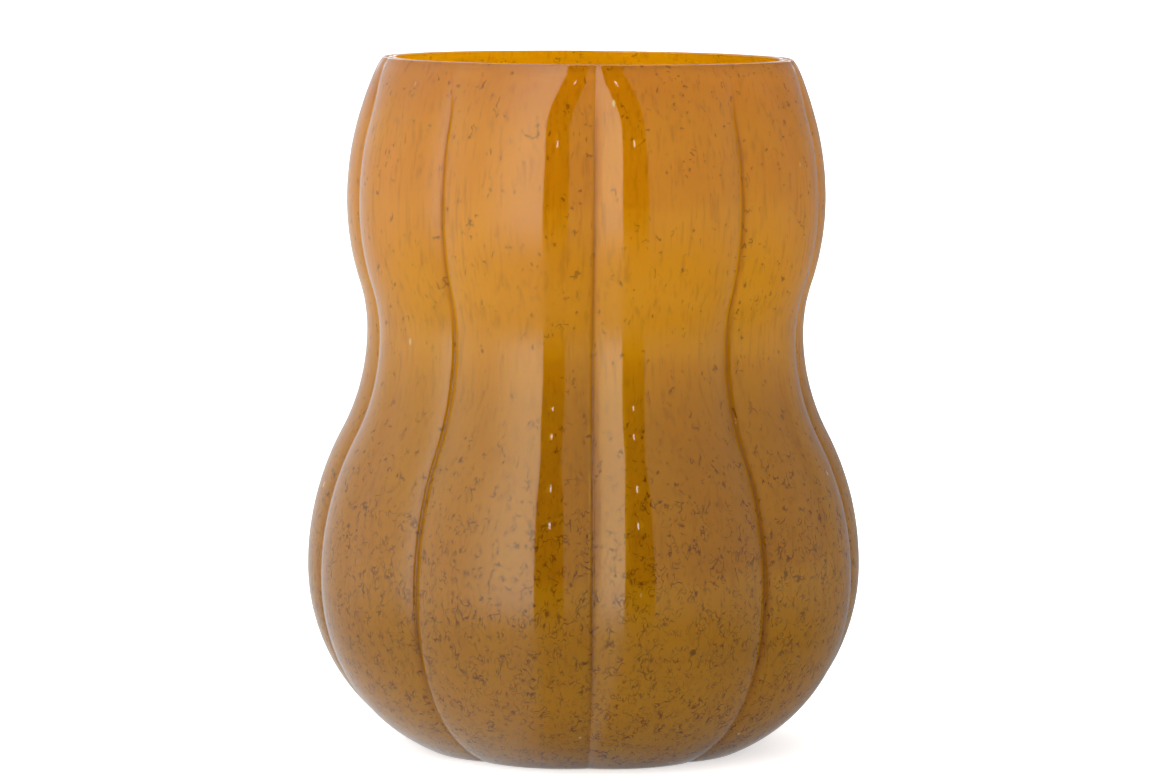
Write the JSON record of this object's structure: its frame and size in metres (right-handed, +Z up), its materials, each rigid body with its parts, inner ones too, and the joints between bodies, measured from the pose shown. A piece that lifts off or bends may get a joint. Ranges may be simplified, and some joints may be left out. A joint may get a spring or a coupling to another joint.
{
  "type": "gourd vase",
  "caption": "Free-standing gourd-shaped glass vase with lobed walls, a drawn-in waist and a wide flat-cut mouth, for holding flowers and water.",
  "frame": {"origin": "middle of the flat base, on the surface that the vase stands on", "axes": "+Z up along the vase's axis; a groove between two lobes faces -Y; +X to the right of a viewer who looks along +Y"},
  "size_m": [0.1876, 0.1865, 0.232],
  "materials": {
    "casing_glass": "polished clear outer casing, faintly smoked, with fine seed bubbles",
    "frit_glass": "mottled tan and olive-brown flecks, in streaks above and dense below",
    "core_glass": "smooth translucent amber"
  },
  "bodies": {
    "root": {"clear_casing": "casing_glass", "frit_layer": "frit_glass", "amber_core": "core_glass"}
  },
  "joints": []
}
